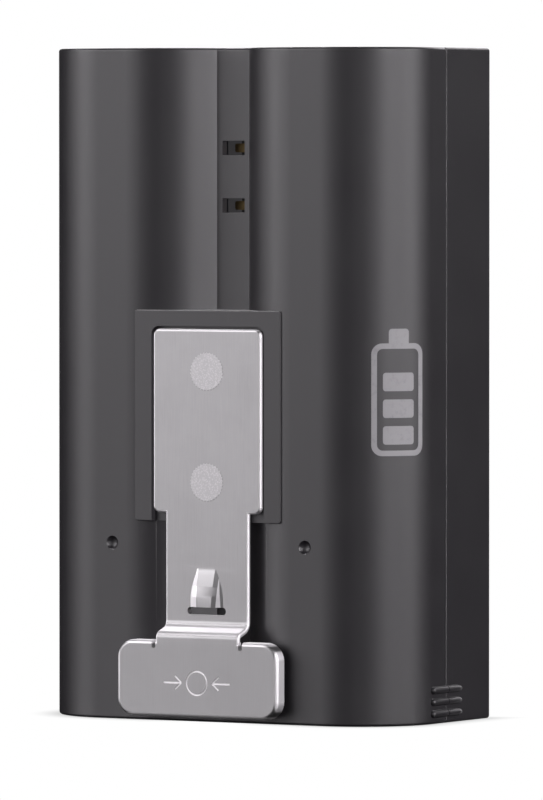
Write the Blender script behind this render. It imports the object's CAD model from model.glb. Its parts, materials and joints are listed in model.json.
"""Looks of a video doorbell's rechargeable battery pack, laid out as an add-on.

+Z is up, -Y is the front with the two lobes and the sprung latch, +X is to the right.
"""

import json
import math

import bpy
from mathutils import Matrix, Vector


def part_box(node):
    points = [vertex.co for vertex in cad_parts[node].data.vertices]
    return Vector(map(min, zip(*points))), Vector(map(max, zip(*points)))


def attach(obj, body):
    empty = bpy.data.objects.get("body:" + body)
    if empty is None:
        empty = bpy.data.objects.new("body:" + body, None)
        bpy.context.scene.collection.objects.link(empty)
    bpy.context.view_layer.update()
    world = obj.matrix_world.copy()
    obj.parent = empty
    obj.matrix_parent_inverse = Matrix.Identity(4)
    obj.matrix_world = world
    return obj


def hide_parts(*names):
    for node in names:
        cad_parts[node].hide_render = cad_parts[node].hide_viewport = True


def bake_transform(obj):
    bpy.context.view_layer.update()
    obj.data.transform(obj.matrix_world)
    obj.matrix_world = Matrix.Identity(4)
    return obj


bl_info = {
    "name": "Doorbell Battery Pack",
    "version": (1, 0, 0),
    "blender": (4, 5, 0),
    "location": "3D View > Sidebar > Battery Pack",
    "description": "Finished shells, latch, socket and materials of a doorbell battery pack",
    "category": "Object",
}

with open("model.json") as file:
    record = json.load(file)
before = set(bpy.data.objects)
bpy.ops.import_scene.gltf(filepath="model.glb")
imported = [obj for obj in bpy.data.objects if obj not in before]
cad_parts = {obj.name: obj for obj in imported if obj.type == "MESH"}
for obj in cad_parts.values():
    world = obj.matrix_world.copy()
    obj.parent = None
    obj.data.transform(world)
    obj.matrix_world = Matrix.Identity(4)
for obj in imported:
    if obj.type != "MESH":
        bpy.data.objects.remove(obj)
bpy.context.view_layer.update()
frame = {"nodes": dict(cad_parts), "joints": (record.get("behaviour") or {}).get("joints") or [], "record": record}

MM = 0.001
PACK = "pack"

ROOT_LOW, ROOT_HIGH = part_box("latch_root")
TAB_LOW, TAB_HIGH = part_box("latch_tab")
FRONT_LOW, FRONT_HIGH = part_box("front_case")
REAR_LOW, REAR_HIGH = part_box("rear_case")
LABEL_LOW, LABEL_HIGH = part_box("rear_label")
HINGE = next(joint for joint in frame["joints"] if joint["name"] == "latch_press")
HEIGHT = FRONT_HIGH.z
SEAM_Y = (FRONT_HIGH.y + REAR_LOW.y) / 2
BACK_Y = REAR_HIGH.y

ROOT_BOTTOM = 21.7 * MM         # lower corners of the riveted root
TAB_HALF = 5.0 * MM             # half the width of the tab and its neck
JOG_TOP = 10.0 * MM             # the jog steps the tab outwards between these heights
JOG_BOTTOM = 9.3 * MM
PLATE_TOP = 8.5 * MM
PAST = 1 * MM                   # how far a cutter runs past the face it opens


def length(name, description, millimetres):
    """A length that the user can set, in metres."""
    return bpy.props.FloatProperty(name=name, description=description, default=millimetres * MM,
                                   unit="LENGTH", precision=6)


def colour(name, description, red, green, blue):
    return bpy.props.FloatVectorProperty(name=name, description=description, subtype="COLOR",
                                         size=3, min=0.0, max=1.0, default=(red, green, blue))


class CaseSizes(bpy.types.PropertyGroup):
    """Sizes of the two case shells."""

    lobe_radius: length("Lobe radius", "Rounding of each lobe beside its flat crest", 8.6)
    groove_depth: length("Groove depth", "Contact groove floor below the crests", 5.2)
    wall: length("Wall", "Side wall thickness", 0.9)
    end_wall: length("End wall", "Wall thickness at the top and bottom ends", 1.15)
    rim_round: length("Rim rounding", "Rounding of the top and bottom edges", 0.3)
    seam_gap: length("Seam gap", "Gap between the two shells", 0.06)
    seam_round: length("Seam rounding", "Rounding of both edges of the seam", 0.13)
    rear_round: length("Rear rounding", "Rounding of the rear vertical edges", 0.3)
    rib_proud: length("Rib height", "How far a finger rib stands out", 0.42)
    rib_width: length("Rib width", "Width of a finger rib", 0.8)
    rib_pitch: length("Rib pitch", "Spacing of the finger ribs", 1.22)
    rib_lowest: length("Lowest rib", "Height of the lowest rib's middle", 1.05)
    rib_reach: length("Rib reach", "How far a rib runs to each side of the seam", 3.2)
    boss_proud: length("Boss proud", "Boss face in front of the crests", 0.1)
    boss_width: length("Boss width", "Width of the latch boss", 17.6)
    boss_bottom: length("Boss bottom", "Lower end of the latch boss", 20.8)
    boss_top: length("Boss top", "Upper end of the latch boss", 42.75)
    web_height: length("Web height", "Web that closes the groove at the bottom", 1.3)
    dimple_radius: length("Dimple radius", "Radius of the two dimples", 0.73)
    dimple_depth: length("Dimple depth", "Depth of the two dimples", 0.5)
    dimple_height: length("Dimple height", "Height of the two dimples", 18.4)


class LatchSizes(bpy.types.PropertyGroup):
    """Sizes of the bent steel leaf."""

    sheet: length("Sheet", "Thickness of the steel", 0.6)
    edge_round: length("Edge rounding", "Tumbled rounding of the sheared edges", 0.24)
    bend_round: length("Bend radius", "Radius of the two jog bends", 0.55)
    plate_corner: length("Plate corner", "Corner radius of the push plate", 1.9)
    plate_round: length("Plate rounding", "Rounding where the plate's rim turns back", 0.42)
    plate_rim: length("Plate rim", "Depth of the plate's turned rim", 1.45)
    catch_proud: length("Catch height", "How far the catch stands out", 0.55)
    catch_top: length("Catch top", "Where the catch leaves the sheet", 16.1)
    catch_bottom: length("Catch bottom", "Square lower edge of the catch", 11.95)
    mark_depth: length("Mark depth", "Depth of the pressed pictogram", 0.09)
    mark_stroke: length("Mark stroke", "Stroke width of the pressed pictogram", 0.19)


class Colours(bpy.types.PropertyGroup):
    """Base colours of the visible finishes."""

    case: colour("Case", "Moulded case", 0.0096, 0.0083, 0.0107)
    case_light: colour("Case, worn", "Case where it has been rubbed", 0.0155, 0.0148, 0.0163)
    steel: colour("Steel", "Latch leaf", 0.33, 0.327, 0.33)
    steel_dark: colour("Steel, dark", "Shade between the brush lines", 0.296, 0.293, 0.296)
    steel_low: colour("Steel, handled", "Where fingers have dulled the plate", 0.262, 0.26, 0.262)
    steel_edge: colour("Steel edge", "Bright sheared and pressed edges", 0.8, 0.79, 0.8)
    rivet: colour("Rivet", "Struck rivet faces", 0.62, 0.61, 0.62)
    ink: colour("Ink", "Printed pictogram on the lobe", 0.29, 0.285, 0.295)
    label: colour("Label", "Film on the back", 0.055, 0.055, 0.058)


class StageSizes(bpy.types.PropertyGroup):
    """The camera's place."""

    azimuth: bpy.props.FloatProperty(name="Azimuth", description="Camera angle to the right of the front",
                                     default=math.radians(30.6), subtype="ANGLE")
    elevation: bpy.props.FloatProperty(name="Elevation", description="Camera angle above the horizon",
                                       default=math.radians(1.63), subtype="ANGLE")
    distance: length("Distance", "Camera to the point it looks at", 925.4)
    lens: bpy.props.FloatProperty(name="Lens", description="Focal length in millimetres", default=401.4)


# ---------------------------------------------------------------- modelling helpers

def deselect_all():
    for item in bpy.context.selected_objects:
        item.select_set(False)


def activate(item):
    deselect_all()
    item.select_set(True)
    bpy.context.view_layer.objects.active = item


def settle(item):
    """Move an object's place, turn and scale into its mesh."""
    activate(item)
    bpy.ops.object.transform_apply(location=True, rotation=True, scale=True)
    return item


def block(name, low, high):
    """Box between two corners."""
    deselect_all()
    low, high = Vector(low), Vector(high)
    bpy.ops.mesh.primitive_cube_add(size=1, location=(low + high) / 2)
    item = bpy.context.active_object
    item.name = name
    item.scale = high - low
    return settle(item)


def rod(name, centre, radius, depth, axis, sides):
    """Solid cylinder with its middle at centre."""
    turns = {"X": (0, math.pi / 2, 0), "Y": (math.pi / 2, 0, 0), "Z": (0, 0, 0)}
    deselect_all()
    bpy.ops.mesh.primitive_cylinder_add(vertices=sides, radius=radius, depth=depth,
                                        location=centre, rotation=turns[axis])
    item = bpy.context.active_object
    item.name = name
    return settle(item)


def pick(item, elements, modes, test):
    """Enter edit mode with only the elements selected that pass the test."""
    activate(item)
    bpy.context.tool_settings.mesh_select_mode = modes
    mesh = item.data
    for group in (mesh.vertices, mesh.edges, mesh.polygons):
        group.foreach_set("select", [False] * len(group))
    for element in elements:
        element.select = bool(test(element))
    bpy.ops.object.mode_set(mode="EDIT")


def pick_edges(item, test):
    """Select the edges whose two ends pass the test."""
    points = item.data.vertices
    pick(item, item.data.edges, (False, True, False),
         lambda edge: test(*(points[index].co for index in edge.vertices)))


def pick_vertices(item, test):
    """Select the vertices that pass the test."""
    pick(item, item.data.vertices, (True, False, False), lambda vertex: test(vertex.co))


def leave_edit():
    bpy.ops.object.mode_set(mode="OBJECT")


def near(value, target):
    return abs(value - target) < 0.002 * MM


def round_edges(item, test, width, segments):
    """Round the edges that pass the test."""
    pick_edges(item, test)
    bpy.ops.mesh.bevel(offset=width, offset_type="OFFSET", segments=segments, profile=0.5,
                       affect="EDGES", clamp_overlap=False)
    leave_edit()
    return item


def edges_along(axis):
    """Test for edges that run along one axis only."""
    others = [index for index in range(3) if index != axis]
    return lambda a, b: all(near(a[index], b[index]) for index in others)


def edges_in_plane(axis, *levels):
    """Test for edges that lie in one of the planes across an axis."""
    return lambda a, b: any(near(a[axis], level) and near(b[axis], level) for level in levels)


def apply_modifier(item, kind, **settings):
    modifier = item.modifiers.new(kind.lower(), kind)
    for key, value in settings.items():
        setattr(modifier, key, value)
    activate(item)
    bpy.ops.object.modifier_apply(modifier=modifier.name)
    return item


def combine(target, tool, operation):
    """Join, cut or intersect with an exact Boolean; the tool is used up."""
    apply_modifier(target, "BOOLEAN", operation=operation, object=tool, solver="EXACT")
    bpy.data.objects.remove(tool)
    return target


def cut(target, tool):
    return combine(target, tool, "DIFFERENCE")


def join(target, tool):
    return combine(target, tool, "UNION")


def bisect(item, point, normal, keep_below=False):
    """Cut across a mesh; keep_below drops what lies beyond the plane and closes the hole."""
    activate(item)
    bpy.ops.object.mode_set(mode="EDIT")
    bpy.ops.mesh.select_all(action="SELECT")
    bpy.ops.mesh.bisect(plane_co=point, plane_no=normal, use_fill=keep_below, clear_outer=keep_below)
    leave_edit()
    return item


def tidy_mesh(item):
    """Merge doubles and turn all faces outwards."""
    activate(item)
    bpy.ops.object.mode_set(mode="EDIT")
    bpy.ops.mesh.select_all(action="SELECT")
    bpy.ops.mesh.remove_doubles(threshold=0.0005 * MM)
    bpy.ops.mesh.normals_make_consistent(inside=False)
    leave_edit()
    return item


def complete(item, name, material, smooth_angle=32):
    """Name, smooth and paint a finished piece."""
    tidy_mesh(item)
    item.name = name
    item.data.name = name
    bpy.ops.object.shade_smooth_by_angle(angle=math.radians(smooth_angle))
    apply_modifier(item, "WEIGHTED_NORMAL", keep_sharp=True, weight=100)
    item.data.materials.clear()
    item.data.materials.append(material)
    return item


# ---------------------------------------------------------------- shader maths

class Wire:
    """A node socket; arithmetic on it adds Math nodes."""

    def __init__(self, finish, socket):
        self.finish = finish
        self.socket = socket

    def maths(self, operation, *values, clamp=False):
        settings = {"operation": operation, "use_clamp": clamp}
        return self.finish.node("ShaderNodeMath", settings, dict(enumerate(values)))

    def __add__(self, other):
        return self.maths("ADD", self, other)

    __radd__ = __add__

    def __sub__(self, other):
        return self.maths("SUBTRACT", self, other)

    def __rsub__(self, other):
        return self.maths("SUBTRACT", other, self)

    def __mul__(self, other):
        return self.maths("MULTIPLY", self, other)

    __rmul__ = __mul__

    def __gt__(self, other):
        return self.maths("GREATER_THAN", self, other)

    def __lt__(self, other):
        return self.maths("LESS_THAN", self, other)

    def size(self):
        return self.maths("ABSOLUTE", self)

    def smallest(self, other):
        return self.maths("MINIMUM", self, other)

    def largest(self, other):
        return self.maths("MAXIMUM", self, other)

    def power(self, exponent):
        return self.maths("POWER", self, exponent)

    def clamp(self):
        return self.maths("ADD", self, 0.0, clamp=True)

    def fade(self, start, end):
        """0 at start, 1 at end, and smooth between them."""
        return self.finish.node("ShaderNodeMapRange", {"interpolation_type": "SMOOTHSTEP"},
                                {"Value": self, "From Min": start, "From Max": end})


class Finish:
    """A material being built."""

    def __init__(self, name):
        self.material = bpy.data.materials.new(name)
        self.material.use_nodes = True
        self.tree = self.material.node_tree
        self.shader = self.tree.nodes["Principled BSDF"]

    def node(self, kind, settings, inputs, output=0):
        """Add a node: settings first, then the values or links of its sockets."""
        made = self.tree.nodes.new(kind)
        for key, value in settings.items():
            setattr(made, key, value)
        for key, value in inputs.items():
            self.feed(made.inputs[key], value)
        return Wire(self, made.outputs[output])

    def feed(self, socket, value):
        if isinstance(value, Wire):
            self.tree.links.new(value.socket, socket)
        elif socket.type == "RGBA" and len(value) == 3:
            socket.default_value = (*value, 1.0)
        else:
            socket.default_value = value

    def place(self):
        return self.node("ShaderNodeTexCoord", {}, {}, "Object")

    def axes(self):
        """The object's x, y and z as three numbers."""
        split = self.tree.nodes.new("ShaderNodeSeparateXYZ")
        self.feed(split.inputs[0], self.place())
        return [Wire(self, output) for output in split.outputs]

    def stretched(self, scale):
        """Object coordinates scaled differently along each axis."""
        return self.node("ShaderNodeMapping", {}, {"Vector": self.place(), "Scale": scale})

    def noise(self, scale, detail=3.0, roughness=0.5, vector=None):
        inputs = {"Vector": vector or self.place(), "Scale": scale, "Detail": detail,
                  "Roughness": roughness}
        return self.node("ShaderNodeTexNoise", {}, inputs, "Fac")

    def cells(self, scale, vector=None):
        return self.node("ShaderNodeTexVoronoi", {"feature": "F1"},
                         {"Vector": vector or self.place(), "Scale": scale}, "Distance")

    def mix(self, share, first, second):
        """Blend two colours."""
        settings = {"data_type": "RGBA", "clamp_factor": True}
        return self.node("ShaderNodeMix", settings, {0: share, 6: first, 7: second}, 2)

    def bump(self, height, strength, distance):
        inputs = {"Height": height, "Strength": strength, "Distance": distance}
        return self.node("ShaderNodeBump", {}, inputs, "Normal")

    def surface(self, **values):
        """Feed the Principled shader; underscores stand for spaces."""
        names = {"base": "Base Color", "specular": "Specular IOR Level",
                 "transmission": "Transmission Weight"}
        for key, value in values.items():
            self.feed(self.shader.inputs[names.get(key, key.capitalize())], value)
        return self.material


def scratches(finish, angle, scale, threshold):
    """Mask of sparse fine lines that run along one direction."""
    turned = finish.node("ShaderNodeMapping", {},
                         {"Vector": finish.place(), "Rotation": (0.0, angle, 0.0),
                          "Scale": (scale * 14, scale * 14, scale * 0.35)})
    lines = finish.noise(1.0, 2.0, 0.4, turned)
    patches = finish.noise(scale * 1.3, 2.0)
    return lines.fade(threshold, threshold + 0.03) * patches.fade(0.5, 0.64)


def case_plastic(colours):
    """Satin moulded plastic with a fine grain, light scuffs and rubbed ends."""
    finish = Finish("case_plastic")
    _, _, up = finish.axes()
    grain = finish.cells(9000.0)
    ripple = finish.noise(5200.0, 2.0)
    cloud = finish.noise(130.0, 4.0, 0.55)
    marks = scratches(finish, 0.35, 420.0, 0.66).largest(scratches(finish, -0.9, 380.0, 0.67))
    middle = up * (1 / HEIGHT) - 0.5
    ends = middle.size().fade(0.478, 0.5) * finish.noise(900.0, 4.0, 0.6).fade(0.42, 0.62)
    tone = cloud.fade(0.3, 0.72) * 0.35 + ripple * 0.12
    base = finish.mix(tone + ends * 0.5 + marks * 0.35, tuple(colours.case), tuple(colours.case_light))
    roughness = 0.36 + cloud * 0.07 + ripple * 0.03 - ends * 0.06 - marks * 0.05
    height = grain * 0.5 + ripple * 0.5 - marks * 0.9
    return finish.surface(base=base, roughness=roughness, specular=0.7,
                          Normal=finish.bump(height, 0.16, 0.01 * MM))


def rectangle_inside(finish, half, low, high):
    """Distance inwards from the edges of an upright rectangle about x = 0."""
    across, _, up = finish.axes()
    return (half - across.size()).smallest((high - up).smallest(up - low))


def latch_steel(colours):
    """Cold-rolled strip with faint lines along it, bright sheared edges and handling marks."""
    finish = Finish("latch_steel")
    across, deep, up = finish.axes()
    root = rectangle_inside(finish, ROOT_HIGH.x, ROOT_BOTTOM, ROOT_HIGH.z)
    neck = rectangle_inside(finish, TAB_HALF, 2.0 * MM, 30.0 * MM)
    plate = rectangle_inside(finish, TAB_HIGH.x, TAB_LOW.z, PLATE_TOP)
    inside = root.largest(neck.largest(plate * 0.6))
    shelf = band(up, 9.65 * MM, 1.0 * MM)
    ramp = 1 - rectangle_inside(finish, 0.95 * MM, 11.0 * MM, 17.0 * MM).fade(-0.06 * MM, 0.0)
    spike = (across - 1.5 * MM).size() < (15.4 * MM - up) * 0.07
    raised = (deep < ROOT_LOW.y - 0.02 * MM) * (up > 11.5 * MM)
    flanks = ramp * raised * (across < 0.0).largest(spike)
    pressed = (deep > TAB_LOW.y + 0.04 * MM) * (deep < TAB_LOW.y + 0.2 * MM)
    pressed = pressed * (rectangle_inside(finish, 4.6 * MM, 2.3 * MM, 6.0 * MM) > 0.0)
    rims = 1 - inside.fade(0.14 * MM, 0.26 * MM)
    bright = rims.largest(shelf).largest(flanks).largest(pressed)
    lines = finish.noise(1.0, 4.0, 0.6, finish.stretched((16000.0, 16000.0, 320.0)))
    mottle = finish.noise(420.0, 3.0, 0.5)
    smear = finish.noise(95.0, 3.0, 0.5)
    marks = scratches(finish, 0.6, 520.0, 0.655).largest(scratches(finish, -0.4, 460.0, 0.66))
    base = finish.mix(lines.fade(0.3, 0.7) * 0.5 + mottle.fade(0.35, 0.7) * 0.35 + marks * 0.4,
                      tuple(colours.steel), tuple(colours.steel_dark))
    handled = 1 - up.fade(4 * MM, 24 * MM)
    base = finish.mix(handled * 0.5, base, tuple(colours.steel_low))
    base = finish.mix(bright, base, tuple(colours.steel_edge))
    roughness = 0.36 + lines * 0.05 + smear.fade(0.35, 0.7) * 0.05 - marks * 0.06 + bright * 0.14
    height = lines * 0.7 + mottle * 0.2 - marks * 1.0
    return finish.surface(base=base, roughness=roughness, metallic=1.0,
                          Normal=finish.bump(height, 0.1, 0.008 * MM))


def rivet_steel(colours):
    """Struck rivet face, pitted and bright."""
    finish = Finish("rivet_steel")
    pits = finish.cells(5200.0)
    grit = finish.noise(7800.0, 3.0, 0.6)
    shade = pits.fade(0.1, 0.6) * 0.4 + grit * 0.25
    base = finish.mix(shade, tuple(colours.rivet), tuple(colours.steel))
    return finish.surface(base=base, roughness=0.5 + grit * 0.12, metallic=1.0,
                          Normal=finish.bump(pits * 0.6 + grit * 0.4, 0.35, 0.02 * MM))


def printed_ink(colours):
    """Pad-printed ink, slightly patchy where it has been rubbed."""
    finish = Finish("printed_ink")
    patch = finish.noise(1500.0, 4.0, 0.6)
    dark = tuple(value * 0.82 for value in colours.ink)
    base = finish.mix(patch.fade(0.5, 0.75), tuple(colours.ink), dark)
    return finish.surface(base=base, roughness=0.42 + patch * 0.14,
                          Normal=finish.bump(finish.noise(6000.0), 0.1, 0.01 * MM))


def label_film(colours):
    """Matt film with a fine border line and three blank bars, and no lettering."""
    finish = Finish("label_film")
    across, _, up = finish.axes()
    half = (LABEL_HIGH.x - LABEL_LOW.x) / 2
    middle = (LABEL_HIGH.z + LABEL_LOW.z) / 2
    tall = (LABEL_HIGH.z - LABEL_LOW.z) / 2
    from_side = half - across.size()
    from_end = tall - (up - middle).size()
    inside = from_side.smallest(from_end)
    border = inside.fade(1.1 * MM, 1.2 * MM) * (1 - inside.fade(1.45 * MM, 1.55 * MM))
    bars = sum_of([band(up - middle, place * MM, 1.1 * MM) for place in (-15.0, -11.5, -8.0)])
    bars = bars * (across.size() < half * 0.72)
    grain = finish.noise(3200.0, 3.0)
    printed = border.largest(bars * 0.45).clamp()
    base = finish.mix(printed, tuple(colours.label), (0.3, 0.3, 0.305))
    return finish.surface(base=base, roughness=0.46 + grain * 0.12 - printed * 0.08,
                          Normal=finish.bump(grain + printed * 0.3, 0.12, 0.02 * MM))


def band(distance, centre, width):
    """Soft-edged stripe of the given width about centre."""
    return 1 - (distance - centre).size().fade(width / 2, width / 2 + 0.08 * MM)


def sum_of(wires):
    total = wires[0]
    for wire in wires[1:]:
        total = total + wire
    return total


def moulded(name, shade, roughness, metallic=0.0, grain=2600.0, depth=0.12, **more):
    """Plain finish for the smaller pieces: mottled colour, uneven sheen and a fine grain."""
    finish = Finish(name)
    fine = finish.noise(grain, 3.0, 0.55)
    broad = finish.noise(grain / 9, 2.0, 0.5)
    other = tuple(min(1.0, value * 1.28 + 0.004) for value in shade)
    base = finish.mix(broad.fade(0.35, 0.7) * 0.6 + fine * 0.3, shade, other)
    return finish.surface(base=base, roughness=roughness - 0.04 + fine * 0.08, metallic=metallic,
                          Normal=finish.bump(fine, depth, 0.02 * MM), **more)


def cell_wrap():
    """Shrink wrap with faint lengthwise tension lines."""
    finish = Finish("cell_wrap")
    lines = finish.noise(1.0, 3.0, 0.5, finish.stretched((2600.0, 2600.0, 120.0)))
    base = finish.mix(lines.fade(0.3, 0.7), (0.02, 0.12, 0.24), (0.03, 0.17, 0.32))
    return finish.surface(base=base, roughness=0.26 + lines * 0.12,
                          Normal=finish.bump(lines, 0.12, 0.03 * MM))


def circuit_board():
    """Solder mask with copper tracks under it and bare pads."""
    finish = Finish("circuit_board")
    across, _, up = finish.axes()
    tracks = (across * 1250.0).maths("SINE", across * 4200.0 + finish.noise(160.0) * 3.0)
    pads = finish.cells(620.0, finish.stretched((1.0, 0.02, 1.0)))
    pad = 1 - pads.fade(0.12, 0.16)
    copper = tracks.fade(0.15, 0.35) * finish.noise(240.0).fade(0.42, 0.5)
    base = finish.mix(copper * 0.6, (0.008, 0.075, 0.03), (0.02, 0.16, 0.06))
    base = finish.mix(pad, base, (0.72, 0.58, 0.3))
    return finish.surface(base=base, roughness=0.34 + pad * 0.1, metallic=pad,
                          Normal=finish.bump(copper + pad, 0.2, 0.03 * MM))


# ---------------------------------------------------------------- case shells

def crest_y(sizes):
    return FRONT_LOW.y + sizes.boss_proud


def half_width(sizes):
    return REAR_HIGH.x - sizes.rib_proud


def inner_axis(sizes):
    """X of the arc beside the groove, and Y of every lobe arc."""
    crest = crest_y(sizes)
    return half_width(sizes) + crest * 2 + sizes.lobe_radius, crest + sizes.lobe_radius


def groove_tool(sizes, inset, low_z, high_z):
    """Cutter of the contact groove: a block less the two lobes beside it."""
    crest = crest_y(sizes)
    inner, axis_y = inner_axis(sizes)
    half = inner - 0.06 * MM
    floor = crest + sizes.groove_depth + inset
    tool = block("groove", (-half, crest - PAST, low_z), (half, floor, high_z))
    for side in (-1, 1):
        centre = (side * inner, axis_y, (low_z + high_z) / 2)
        cut(tool, rod("lobe", centre, sizes.lobe_radius - inset, high_z - low_z + 2 * MM, "Z", 160))
    return tool


def lobed_block(sizes, inset, low_z, high_z, back):
    """Block with its two front edges rounded to the lobe's radius."""
    half, front = half_width(sizes) - inset, crest_y(sizes) + inset
    body = block("shell", (-half, front, low_z), (half, back, high_z))
    in_front, upright = edges_in_plane(1, front), edges_along(2)
    return round_edges(body, lambda a, b: in_front(a, b) and upright(a, b),
                       sizes.lobe_radius - inset, 40)


def round_rims(item, sizes, seam):
    """Round the top and bottom edges, finely where they meet the seam."""
    ends = edges_in_plane(2, 0.0, HEIGHT)
    at_seam = edges_in_plane(1, seam)
    round_edges(item, lambda a, b: ends(a, b) and not at_seam(a, b), sizes.rim_round, 4)
    round_edges(item, at_seam, sizes.seam_round, 3)


def rib(sizes, side, index):
    """Half-round finger rib with one round end and one long tapered end."""
    radius = sizes.rib_width / 2
    middle = sizes.rib_lowest + index * sizes.rib_pitch
    start = SEAM_Y - sizes.rib_reach + radius
    end = SEAM_Y + sizes.rib_reach
    taper = radius * 3.2
    deselect_all()
    bpy.ops.mesh.primitive_uv_sphere_add(segments=32, ring_count=18, radius=radius,
                                         location=(side * half_width(sizes), start, middle),
                                         rotation=(math.pi / 2, 0, 0))
    made = bpy.context.active_object
    made.scale = (sizes.rib_proud / radius, 1.0, 1.0)
    settle(made)
    pick_vertices(made, lambda point: point.y > start + 0.001 * MM)
    bpy.ops.transform.resize(value=(1.0, taper / radius, 1.0), center_override=(0.0, start, middle))
    bpy.ops.transform.translate(value=(0.0, end - taper - start, 0.0))
    leave_edit()
    return made


def add_ribs(shell, sizes, edge, behind):
    """Join the part of each rib that lies on this shell's side of the seam."""
    way, back_off = (1.0 if behind else -1.0), 0.02 * MM
    for side in (-1, 1):
        for index in range(3):
            part = rib(sizes, side, index)
            bisect(part, (0.0, edge + way * back_off, 0.0), (0.0, -way, 0.0), keep_below=True)
            join(shell, part)


def latch_boss(sizes):
    """Raised platform that carries the latch."""
    front = FRONT_LOW.y
    groove = crest_y(sizes) + sizes.groove_depth
    half = sizes.boss_width / 2
    corner_round, face_round = 0.25 * MM, 0.09 * MM
    boss = block("boss", (-half, front, sizes.boss_bottom),
                 (half, groove + sizes.wall / 2, sizes.boss_top))
    round_edges(boss, edges_along(1), corner_round, 4)
    return round_edges(boss, edges_in_plane(1, front), face_round, 2)


def cut_front_openings(shell, sizes):
    """Latch pocket, contact slots and dimples."""
    crest = crest_y(sizes)
    gap = 0.3 * MM
    deep = edges_along(1)
    pocket_floor = ROOT_HIGH.y + gap
    pocket = block("pocket", (ROOT_LOW.x - gap, crest - 2 * MM, sizes.boss_bottom - 1.2 * MM),
                   (ROOT_HIGH.x + gap, pocket_floor, ROOT_HIGH.z + gap))
    cut(shell, round_edges(pocket, lambda a, b: deep(a, b) and a.z > ROOT_LOW.z, 0.9 * MM, 6))
    floor = crest + sizes.groove_depth
    for name in ("contact_upper", "contact_lower"):
        low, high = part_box(name)
        slot = block("slot", (low.x - gap, floor - 1 * MM, low.z - gap),
                     (high.x + gap, floor + 2 * MM, high.z + gap))
        cut(shell, round_edges(slot, deep, 0.12 * MM, 3))
    ball = (sizes.dimple_radius ** 2 + sizes.dimple_depth ** 2) / (2 * sizes.dimple_depth)
    middle = half_width(sizes) + crest
    for side in (-1, 1):
        deselect_all()
        centre = (side * middle, crest + sizes.dimple_depth - ball, sizes.dimple_height)
        bpy.ops.mesh.primitive_uv_sphere_add(segments=40, ring_count=24, radius=ball, location=centre,
                                             rotation=(math.pi / 2, 0, 0))
        cut(shell, settle(bpy.context.active_object))


def hollow_out(shell, sizes, seam):
    """Cut the inside of the front shell, open at the seam."""
    low, high = sizes.end_wall, HEIGHT - sizes.end_wall
    hollow = lobed_block(sizes, sizes.wall, low, high, seam + 1 * MM)
    cut(hollow, groove_tool(sizes, sizes.wall, low - 1 * MM, high + 1 * MM))
    cut(shell, hollow)


class PACK_OT_front_shell(bpy.types.Operator):
    """Front shell: two lobes, contact groove, latch boss and finger ribs"""

    bl_idname = "battery_pack.front_shell"
    bl_label = "Front Shell"

    def execute(self, context):
        sizes = context.scene.pack_case
        seam = SEAM_Y - sizes.seam_gap / 2
        shell = lobed_block(sizes, 0.0, 0.0, HEIGHT, seam)
        cut(shell, groove_tool(sizes, 0.0, sizes.web_height, HEIGHT + 1 * MM))
        round_rims(shell, sizes, seam)
        join(shell, latch_boss(sizes))
        cut_front_openings(shell, sizes)
        add_ribs(shell, sizes, seam, behind=False)
        hollow_out(shell, sizes, seam)
        complete(shell, "front_shell", material_of("case_plastic"))
        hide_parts("front_case")
        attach(shell, PACK)
        return {"FINISHED"}


class PACK_OT_rear_shell(bpy.types.Operator):
    """Rear shell: flat sides and back, socket mouth, light holes and label recess"""

    bl_idname = "battery_pack.rear_shell"
    bl_label = "Rear Shell"

    def execute(self, context):
        sizes = context.scene.pack_case
        seam = SEAM_Y + sizes.seam_gap / 2
        half = half_width(sizes)
        upright = edges_along(2)
        shell = block("rear", (-half, seam, 0.0), (half, BACK_Y, HEIGHT))
        round_edges(shell, lambda a, b: upright(a, b) and near(a.y, BACK_Y), sizes.rear_round, 5)
        round_rims(shell, sizes, seam)
        inner = half - sizes.wall
        hollow = block("hollow", (-inner, seam - 1 * MM, sizes.end_wall),
                       (inner, BACK_Y - sizes.wall, HEIGHT - sizes.end_wall))
        cut(shell, round_edges(hollow, lambda a, b: upright(a, b) and a.y > seam, 0.4 * MM, 4))
        self.cut_socket_and_lights(shell, sizes)
        gap = 0.12 * MM
        recess = block("recess", (LABEL_LOW.x - gap, LABEL_LOW.y - 0.02 * MM, LABEL_LOW.z - gap),
                       (LABEL_HIGH.x + gap, BACK_Y + 1 * MM, LABEL_HIGH.z + gap))
        cut(shell, round_edges(recess, edges_along(1), 1.55 * MM, 8))
        add_ribs(shell, sizes, seam, behind=True)
        complete(shell, "rear_shell", material_of("case_plastic"))
        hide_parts("rear_case")
        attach(shell, PACK)
        return {"FINISHED"}

    def cut_socket_and_lights(self, shell, sizes):
        low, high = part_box("usb_shell")
        gap = 0.12 * MM
        upright = edges_along(2)
        mouth = block("mouth", (low.x - gap, low.y - gap, HEIGHT - 2 * MM),
                      (high.x + gap, high.y + gap, HEIGHT + 1 * MM))
        cut(shell, round_edges(mouth, upright, 0.5 * MM, 5))
        for name in ("light_pipe_amber", "light_pipe_green"):
            low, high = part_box(name)
            centre = (low + high) / 2
            radius = (high.x - low.x) / 2 + 0.05 * MM
            cut(shell, rod("light_hole", (centre.x, centre.y, HEIGHT), radius, 4 * MM, "Z", 40))


# ---------------------------------------------------------------- latch

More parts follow.
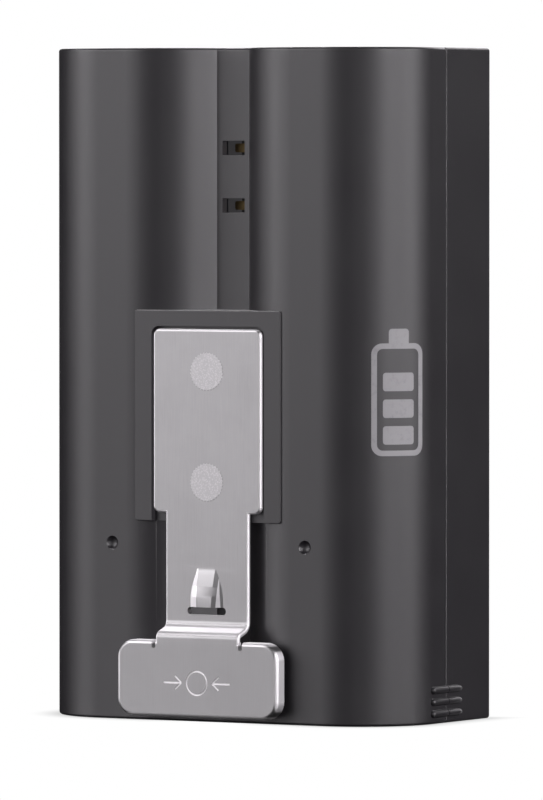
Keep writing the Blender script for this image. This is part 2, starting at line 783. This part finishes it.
def catch_ramp(sizes):
    """Ramp of the catch: rings that widen and rise towards its square lower edge."""
    half, rings = 2.0 * MM, 10
    top, bottom = sizes.catch_top, sizes.catch_bottom
    face = ROOT_LOW.y
    sunk = face + 0.03 * MM
    ramp = block("catch", (-half, sunk, bottom), (half, face + sizes.sheet / 2, top))
    for x in (-half / 2, half / 2):
        bisect(ramp, (x, 0.0, 0.0), (1.0, 0.0, 0.0))
    for ring in range(1, rings):
        bisect(ramp, (0.0, 0.0, bottom + (top - bottom) * ring / rings), (0.0, 0.0, 1.0))
    for ring in range(rings + 1):
        level = bottom + (top - bottom) * ring / rings
        down = 1 - ring / rings
        foot = (1.1 + 0.95 * math.sin(math.pi / 2 * min(1.0, down * 1.2))) * MM
        flat = (1.08 - 0.27 * down) * MM
        rise = sizes.catch_proud * math.sin(math.pi / 2 * down) ** 0.9
        for test, wide, before in ((lambda p: abs(p.x) > 0.6 * half, foot / half, 0.0),
                                   (lambda p: abs(p.x) < 0.6 * half, flat * 2 / half, rise)):
            pick_vertices(ramp, lambda p: near(p.z, level) and test(p))
            bpy.ops.transform.resize(value=(wide, 1.0, 1.0), center_override=(0.0, sunk, level))
            leave_edit()
            if before:
                inner = flat + 0.01 * MM
                pick_vertices(ramp, lambda p: near(p.z, level) and near(p.y, sunk) and abs(p.x) < inner)
                bpy.ops.transform.translate(value=(0.0, -before - 0.03 * MM, 0.0))
                leave_edit()
    return ramp


def bent_tab(sizes):
    """Tab, jog and neck: one sheet folded twice."""
    front, plate_front = ROOT_LOW.y, TAB_LOW.y
    top = ROOT_LOW.z + 1.2 * MM
    deselect_all()
    bpy.ops.mesh.primitive_plane_add(size=1, location=(0, front, (top + JOG_TOP) / 2),
                                     rotation=(math.pi / 2, 0, 0))
    tab = bpy.context.active_object
    tab.scale = (2 * TAB_HALF, top - JOG_TOP, 1)
    settle(tab)
    lowest = edges_in_plane(2, JOG_TOP)
    pick_edges(tab, lowest)
    step = (0.0, plate_front - front, JOG_BOTTOM - JOG_TOP)
    bpy.ops.mesh.extrude_region_move(TRANSFORM_OT_translate={"value": step})
    bpy.ops.mesh.extrude_region_move(TRANSFORM_OT_translate={"value": (0.0, 0.0, -1.9 * MM)})
    leave_edit()
    bends = edges_in_plane(2, JOG_TOP, JOG_BOTTOM)
    round_edges(tab, bends, sizes.bend_round, 7)
    tidy_mesh(tab)
    facing = sum(face.normal.y * face.area for face in tab.data.polygons)
    apply_modifier(tab, "SOLIDIFY", thickness=sizes.sheet, offset=-1.0 if facing < 0 else 1.0,
                   use_even_offset=True)
    return apply_modifier(tab, "BEVEL", width=sizes.edge_round, segments=4, limit_method="ANGLE",
                          angle_limit=math.radians(60))


def push_plate(sizes):
    """Dished plate with its rim turned back, open behind."""
    front, back = TAB_LOW.y, TAB_LOW.y + sizes.plate_rim
    low, high = TAB_LOW, Vector((TAB_HIGH.x, back, PLATE_TOP))
    deep = edges_along(1)
    plate = block("plate", (low.x, front, low.z), high)
    round_edges(plate, deep, sizes.plate_corner, 12)
    round_edges(plate, edges_in_plane(1, front), sizes.plate_round, 6)
    wall = sizes.sheet
    hollow = block("hollow", (low.x + wall, front + wall, low.z + wall),
                   (high.x - wall, back + 1 * MM, high.z - wall))
    cut(plate, round_edges(hollow, deep, sizes.plate_corner - wall, 8))
    half, notch, drop = TAB_HALF, 0.45 * MM, 0.85 * MM
    gap = block("gap", (-half - notch, front + wall, high.z - wall - notch / 2),
                (half + notch, back + 1 * MM, high.z + 1 * MM))
    cut(plate, gap)
    for side in (-1, 1):
        start, end = sorted((side * half, side * (half + notch)))
        slot = block("notch", (start, front - PAST, high.z - drop), (end, back + PAST, high.z + PAST))
        cut(plate, round_edges(slot, lambda a, b: deep(a, b) and a.z < high.z, 0.2 * MM, 4))
    return plate


def press_mark(sizes):
    """Cutters of the pressed pictogram: two arrows that point at a ring."""
    front, depth, stroke = TAB_LOW.y, sizes.mark_depth, sizes.mark_stroke
    middle = 4.15 * MM
    ring_radius, reach, tip, barb = 1.32 * MM, 4.0 * MM, 1.95 * MM, 1.05 * MM
    ring = rod("ring", (0, front, middle), ring_radius, 2 * depth, "Y", 48)
    cut(ring, rod("hole", (0, front, middle), ring_radius - stroke, 1 * MM, "Y", 48))
    cutters = [ring]
    for side in (-1, 1):
        start, end = sorted((side * tip, side * reach))
        cutters.append(block("shaft", (start, front - depth, middle - stroke / 2),
                               (end, front + depth, middle + stroke / 2)))
        for slope in (-1, 1):
            head = block("head", (0, -depth, -stroke / 2), (side * barb, depth, stroke / 2))
            tidy_mesh(head)
            head.rotation_euler = (0.0, slope * math.radians(42), 0.0)
            head.location = (side * (tip - stroke / 2), front, middle)
            cutters.append(settle(head))
    return cutters


class PACK_OT_latch_leaf(bpy.types.Operator):
    """Sprung steel leaf: riveted root, tab with its catch, jog and push plate in one sheet"""

    bl_idname = "battery_pack.latch_leaf"
    bl_label = "Latch Leaf"

    def execute(self, context):
        sizes = context.scene.pack_latch
        front, back = ROOT_LOW.y, ROOT_LOW.y + sizes.sheet
        leaf = block("leaf", (ROOT_LOW.x, front, ROOT_BOTTOM), (ROOT_HIGH.x, back, ROOT_HIGH.z))
        round_edges(leaf, edges_along(1), 0.7 * MM, 7)
        apply_modifier(leaf, "BEVEL", width=sizes.edge_round, segments=4, limit_method="ANGLE",
                       angle_limit=math.radians(60))
        join(leaf, bent_tab(sizes))
        join(leaf, push_plate(sizes))
        join(leaf, catch_ramp(sizes))
        slot_half, slot_tall = 2.325 * MM, 0.8 * MM
        slot = block("slot", (-slot_half, front - 1 * MM, sizes.catch_bottom - slot_tall),
                     (slot_half, back + 1 * MM, sizes.catch_bottom))
        cut(leaf, round_edges(slot, edges_along(1), slot_tall / 2 - 0.01 * MM, 8))
        for cutter in press_mark(sizes):
            cut(leaf, cutter)
        flex = HINGE["pos_m"][2]
        for step in range(16):
            bisect(leaf, (0.0, 0.0, flex + (1.5 - step) * 0.6 * MM), (0.0, 0.0, 1.0))
        complete(leaf, "latch_leaf", material_of("latch_steel"), 25)
        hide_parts("latch_root", "latch_tab")
        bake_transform(leaf)
        return {"FINISHED"}


class PACK_OT_rivets(bpy.types.Operator):
    """Two flush rivets with a serrated, struck face"""

    bl_idname = "battery_pack.rivets"
    bl_label = "Rivets"

    def execute(self, context):
        teeth, tooth_foot = 34, 0.93
        angle_step = math.pi / teeth
        thick, proud = 0.3 * MM, 0.03 * MM
        for node in ("rivet_upper", "rivet_lower"):
            low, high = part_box(node)
            radius = (high.x - low.x) / 2
            middle = Vector((0.0, ROOT_LOW.y, (low.z + high.z) / 2))
            centre = middle + Vector((0, thick / 2 - proud, 0))
            face = rod(node, centre, radius + 0.02 * MM, thick, "Y", 2 * teeth)

            def between_teeth(point):
                angle = math.atan2(point.z - middle.z, point.x)
                return round(angle / angle_step - 0.25) % 2 == 0

            pick_vertices(face, between_teeth)
            bpy.ops.transform.resize(value=(tooth_foot, 1.0, tooth_foot), center_override=tuple(middle))
            leave_edit()
            round_edges(face, edges_in_plane(1, ROOT_LOW.y - proud), 0.02 * MM, 2)
            name = node.replace("rivet", "rivet_face")
            complete(face, name, material_of("rivet_steel"), 20)
            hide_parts(node)
            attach(face, PACK)
        return {"FINISHED"}


# ---------------------------------------------------------------- marks and socket

class PACK_OT_lobe_mark(bpy.types.Operator):
    """Printed battery pictogram that follows the right lobe"""

    bl_idname = "battery_pack.lobe_mark"
    bl_label = "Lobe Mark"

    def execute(self, context):
        sizes = context.scene.pack_case
        crest = crest_y(sizes)
        axis_x = half_width(sizes) - sizes.lobe_radius
        axis_y = crest + sizes.lobe_radius
        turn = math.radians(57)
        stroke, half = 0.56 * MM, 2.95 * MM
        bottom, top, tip = 27.9 * MM, 39.5 * MM, 41.0 * MM
        deep = edges_along(1)
        depth = (-12 * MM, -4 * MM)
        mark = block("mark", (-half, depth[0], bottom), (half, depth[1], top))
        round_edges(mark, deep, 1.1 * MM, 8)
        hole = block("hole", (-half + stroke, depth[0] - 1 * MM, bottom + stroke),
                     (half - stroke, depth[1] + 1 * MM, top - stroke))
        cut(mark, round_edges(hole, deep, 0.6 * MM, 6))
        nub = block("nub", (-1.15 * MM, depth[0], top - stroke / 2), (1.15 * MM, depth[1], tip))
        join(mark, round_edges(nub, lambda a, b: deep(a, b) and a.z > top, 0.35 * MM, 5))
        bar_half = half - 2.1 * stroke
        for index in range(3):
            base = bottom + 2.1 * stroke + index * 2.75 * MM
            bar = block("bar", (-bar_half, depth[0], base), (bar_half, depth[1], base + 1.9 * MM))
            join(mark, round_edges(bar, deep, 0.3 * MM, 4))
        for level in range(-6, 7):
            bisect(mark, (level * 0.4 * MM, 0.0, 0.0), (1.0, 0.0, 0.0))
        mark.rotation_euler = (0.0, 0.0, turn)
        mark.location = (axis_x, axis_y, 0.0)
        settle(mark)
        middle = (axis_x, axis_y, HEIGHT / 2)
        skin = 0.025 * MM
        outer = rod("outer", middle, sizes.lobe_radius + skin, 40 * MM, "Z", 256)
        combine(mark, outer, "INTERSECT")
        cut(mark, rod("inner", middle, sizes.lobe_radius - skin, 44 * MM, "Z", 256))
        complete(mark, "lobe_mark", material_of("printed_ink"))
        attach(mark, PACK)
        return {"FINISHED"}


class PACK_OT_charge_socket(bpy.types.Operator):
    """Charging socket: folded steel shell, tongue and its gold contacts"""

    bl_idname = "battery_pack.charge_socket"
    bl_label = "Charge Socket"

    def execute(self, context):
        low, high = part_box("usb_shell")
        upright = edges_along(2)
        shell = block("socket", low, high)
        round_edges(shell, lambda a, b: upright(a, b) and near(a.y, low.y), 0.85 * MM, 4)
        round_edges(shell, lambda a, b: upright(a, b) and near(a.y, high.y), 0.4 * MM, 4)
        skin = 0.3 * MM
        hollow = block("hollow", (low.x + skin, low.y + skin, low.z + skin),
                       (high.x - skin, high.y - skin, high.z + 1 * MM))
        round_edges(hollow, lambda a, b: upright(a, b) and near(a.y, low.y + skin), 0.7 * MM, 4)
        cut(shell, hollow)
        apply_modifier(shell, "BEVEL", width=0.07 * MM, segments=2, limit_method="ANGLE",
                       angle_limit=math.radians(60))
        complete(shell, "socket_shell", material_of("socket_steel"))
        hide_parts("usb_shell")
        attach(shell, PACK)
        self.add_tongue()
        return {"FINISHED"}

    def add_tongue(self):
        low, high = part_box("usb_tongue")
        tongue = block("tongue", low, high)
        round_edges(tongue, edges_in_plane(2, high.z), 0.14 * MM, 3)
        complete(tongue, "socket_tongue", material_of("inner_plastic"))
        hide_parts("usb_tongue")
        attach(tongue, PACK)
        count, pitch, width = 5, 0.65 * MM, 0.36 * MM
        fingers = None
        for index in range(count):
            middle = (index - (count - 1) / 2) * pitch
            finger = block("finger", (middle - width / 2, low.y - 0.05 * MM, low.z + 0.3 * MM),
                           (middle + width / 2, low.y + 0.03 * MM, high.z - 0.25 * MM))
            round_edges(finger, edges_in_plane(1, low.y - 0.05 * MM), 0.03 * MM, 2)
            fingers = join(fingers, finger) if fingers else finger
        complete(fingers, "socket_contacts", material_of("gold"))
        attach(fingers, PACK)


# ---------------------------------------------------------------- finishes and stage

def material_of(name):
    return bpy.data.materials[name]


class PACK_OT_finishes(bpy.types.Operator):
    """Materials of every piece"""

    bl_idname = "battery_pack.finishes"
    bl_label = "Finishes"

    def execute(self, context):
        colours = context.scene.pack_colours
        frame_materials = [slot.material for node in frame["nodes"].values()
                           for slot in node.material_slots]
        for material in frame_materials:
            if material is not None and not material.name.startswith("cad_"):
                material.name = "cad_" + material.name
        case_plastic(colours)
        latch_steel(colours)
        rivet_steel(colours)
        printed_ink(colours)
        label_film(colours)
        cell_wrap()
        circuit_board()
        moulded("nickel", (0.6, 0.57, 0.52), 0.26, 1.0, 1800.0)
        moulded("fibre", (0.52, 0.5, 0.4), 0.8, 0.0, 3400.0, 0.3)
        moulded("inner_plastic", (0.012, 0.012, 0.013), 0.5)
        moulded("gold", (0.09, 0.065, 0.03), 0.45, 1.0, 2400.0, 0.05)
        moulded("socket_steel", (0.55, 0.55, 0.56), 0.26, 1.0, 2200.0, 0.06)
        moulded("amber_light", (0.75, 0.3, 0.05), 0.25)
        moulded("green_light", (0.12, 0.62, 0.2), 0.25)
        moulded("clear_plastic", (0.62, 0.63, 0.63), 0.2, 0.0, 2600.0, 0.08, transmission=0.55)
        moulded("chip_epoxy", (0.016, 0.016, 0.018), 0.42, 0.0, 5200.0, 0.3)
        moulded("ferrite", (0.06, 0.06, 0.062), 0.6, 0.0, 5200.0, 0.4)
        moulded("capacitor", (0.42, 0.3, 0.17), 0.4, 0.0, 3600.0)
        moulded("foam", (0.03, 0.03, 0.031), 0.95, 0.0, 4200.0, 0.8)
        for entry in frame["record"]["subparts"]:
            node = frame["nodes"][entry["node"]]
            material = material_of(entry["material_slot"])
            for slot in node.material_slots:
                slot.material = material
            if not node.material_slots:
                node.data.materials.append(material)
        return {"FINISHED"}


def soft_box(name, azimuth, height, distance, wide, tall, watts, shadow=True):
    """Large rectangular light that faces the pack; without shadow it reaches into the groove."""
    angle = math.radians(azimuth)
    centre = Vector((0.0, 0.0, HEIGHT / 2))
    place = Vector((distance * math.sin(angle), -distance * math.cos(angle), height))
    light = bpy.data.lights.new(name, "AREA")
    light.shape = "RECTANGLE"
    light.size, light.size_y, light.energy = wide, tall, watts
    light.color = (1.0, 0.97, 1.005)
    light.use_shadow = shadow
    light.cycles.use_multiple_importance_sampling = shadow
    item = bpy.data.objects.new(name, light)
    bpy.context.collection.objects.link(item)
    item.location = place
    item.rotation_euler = (centre - place).to_track_quat("-Z", "Y").to_euler()
    item.visible_camera = False
    return item


def pale_floor(sizes):
    """Round white floor with a soft contact shadow that follows the pack's footprint."""
    deselect_all()
    bpy.ops.mesh.primitive_circle_add(vertices=96, radius=1.3, fill_type="NGON")
    floor = bpy.context.active_object
    floor.name = "floor"
    finish = Finish("floor_white")
    across, deep, _ = finish.axes()
    inner, axis_y = inner_axis(sizes)
    middle = half_width(sizes) + crest_y(sizes)
    half_crest = middle - inner
    beside = ((across.size() - middle).size() - half_crest).largest(0.0)
    before = (axis_y - deep).largest(0.0)
    away = ((beside * beside + before * before).power(0.5) - sizes.lobe_radius).largest(deep - BACK_Y)
    shade = 1 - away.fade(-6 * MM, 3.5 * MM)
    cloud = finish.noise(8.0, 2.0)
    seen = finish.node("ShaderNodeEmission", {}, {"Color": 1 - shade, "Strength": 1.0})
    camera_ray = finish.node("ShaderNodeLightPath", {}, {}, "Is Camera Ray")
    plain = finish.surface(base=finish.mix(cloud, (0.05, 0.05, 0.05), (0.07, 0.07, 0.07)),
                           roughness=0.12, metallic=1.0)
    for_lights = Wire(finish, finish.shader.outputs[0])
    both = finish.node("ShaderNodeMixShader", {}, {0: camera_ray, 1: for_lights, 2: seen})
    finish.tree.links.new(both.socket, finish.tree.nodes["Material Output"].inputs["Surface"])
    floor.data.materials.append(plain)


def studio_world():
    """White seen by the camera, dim as a light."""
    world = bpy.data.worlds.new("studio")
    bpy.context.scene.world = world
    world.use_nodes = True
    nodes, links = world.node_tree.nodes, world.node_tree.links
    dim = nodes["Background"]
    dim.inputs["Color"].default_value = (0.02, 0.02, 0.0205, 1.0)
    white = nodes.new("ShaderNodeBackground")
    white.inputs["Color"].default_value = (1.0, 1.0, 1.0, 1.0)
    path = nodes.new("ShaderNodeLightPath")
    mix = nodes.new("ShaderNodeMixShader")
    links.new(path.outputs["Is Camera Ray"], mix.inputs[0])
    links.new(dim.outputs[0], mix.inputs[1])
    links.new(white.outputs[0], mix.inputs[2])
    links.new(mix.outputs[0], nodes["World Output"].inputs["Surface"])


class PACK_OT_stage(bpy.types.Operator):
    """Pale floor, soft studio lights and the camera"""

    bl_idname = "battery_pack.stage"
    bl_label = "Stage"

    def execute(self, context):
        sizes = context.scene.pack_stage
        context.scene.view_settings.view_transform = "Standard"
        pale_floor(context.scene.pack_case)
        studio_world()
        for name, azimuth, watts in (("left_wing", -78, 0.36), ("left_key", -58, 1.4),
                                     ("left_fill", -40, 0.95), ("left_inner", -22, 0.74),
                                     ("front_low", -2, 0.14), ("front_fill", 25, 0.24)):
            soft_box(name, azimuth, 0.25, 0.6, 0.18, 0.44, watts)
        for name, azimuth, watts in (("right_inner", 50, 0.45), ("right_fill", 68, 1.4),
                                     ("right_gap", 86, 0.85), ("right_key", 104, 1.5),
                                     ("right_rim", 124, 0.22)):
            soft_box(name, azimuth, 0.22, 0.6, 0.18, 0.42, watts, shadow=False)
        soft_box("back_top", -142, 0.48, 0.56, 0.3, 0.26, 1.0, shadow=False)
        soft_box("back_middle", 184, 0.25, 0.6, 0.34, 0.42, 1.6)
        soft_box("floor_card", 210.6, 0.06, 0.7, 0.3, 0.12, 0.12)
        camera_data = bpy.data.cameras.new("camera")
        camera = bpy.data.objects.new("camera", camera_data)
        context.collection.objects.link(camera)
        camera_data.lens = sizes.lens
        camera_data.clip_start, camera_data.clip_end = 0.01, 20.0
        target = Vector((5.66 * MM, -6.95 * MM, 33.46 * MM))
        level = math.cos(sizes.elevation)
        back = Vector((math.sin(sizes.azimuth) * level, -math.cos(sizes.azimuth) * level,
                       math.sin(sizes.elevation)))
        camera.location = target + back * sizes.distance
        camera.rotation_euler = (-back).to_track_quat("-Z", "Y").to_euler()
        context.scene.camera = camera
        return {"FINISHED"}


class PACK_PT_panel(bpy.types.Panel):
    """Lists the pieces"""

    bl_idname = "PACK_PT_panel"
    bl_label = "Battery Pack"
    bl_space_type = "VIEW_3D"
    bl_region_type = "UI"
    bl_category = "Battery Pack"

    def draw(self, context):
        for operator in OPERATORS:
            self.layout.operator(operator.bl_idname)


GROUPS = {"pack_case": CaseSizes, "pack_latch": LatchSizes, "pack_colours": Colours,
          "pack_stage": StageSizes}
OPERATORS = (PACK_OT_finishes, PACK_OT_front_shell, PACK_OT_rear_shell, PACK_OT_latch_leaf,
             PACK_OT_rivets, PACK_OT_lobe_mark, PACK_OT_charge_socket, PACK_OT_stage)


def register():
    for group in GROUPS.values():
        bpy.utils.register_class(group)
    for name, group in GROUPS.items():
        setattr(bpy.types.Scene, name, bpy.props.PointerProperty(type=group))
    for kind in (*OPERATORS, PACK_PT_panel):
        bpy.utils.register_class(kind)


def unregister():
    for kind in (PACK_PT_panel, *reversed(OPERATORS)):
        bpy.utils.unregister_class(kind)
    for name in GROUPS:
        delattr(bpy.types.Scene, name)
    for group in GROUPS.values():
        bpy.utils.unregister_class(group)


def main():
    register()
    bpy.ops.battery_pack.finishes()
    bpy.ops.battery_pack.front_shell()
    bpy.ops.battery_pack.rear_shell()
    bpy.ops.battery_pack.latch_leaf()
    bpy.ops.battery_pack.rivets()
    bpy.ops.battery_pack.lobe_mark()
    bpy.ops.battery_pack.charge_socket()
    bpy.ops.battery_pack.stage()


if __name__ == "__main__":
    main()
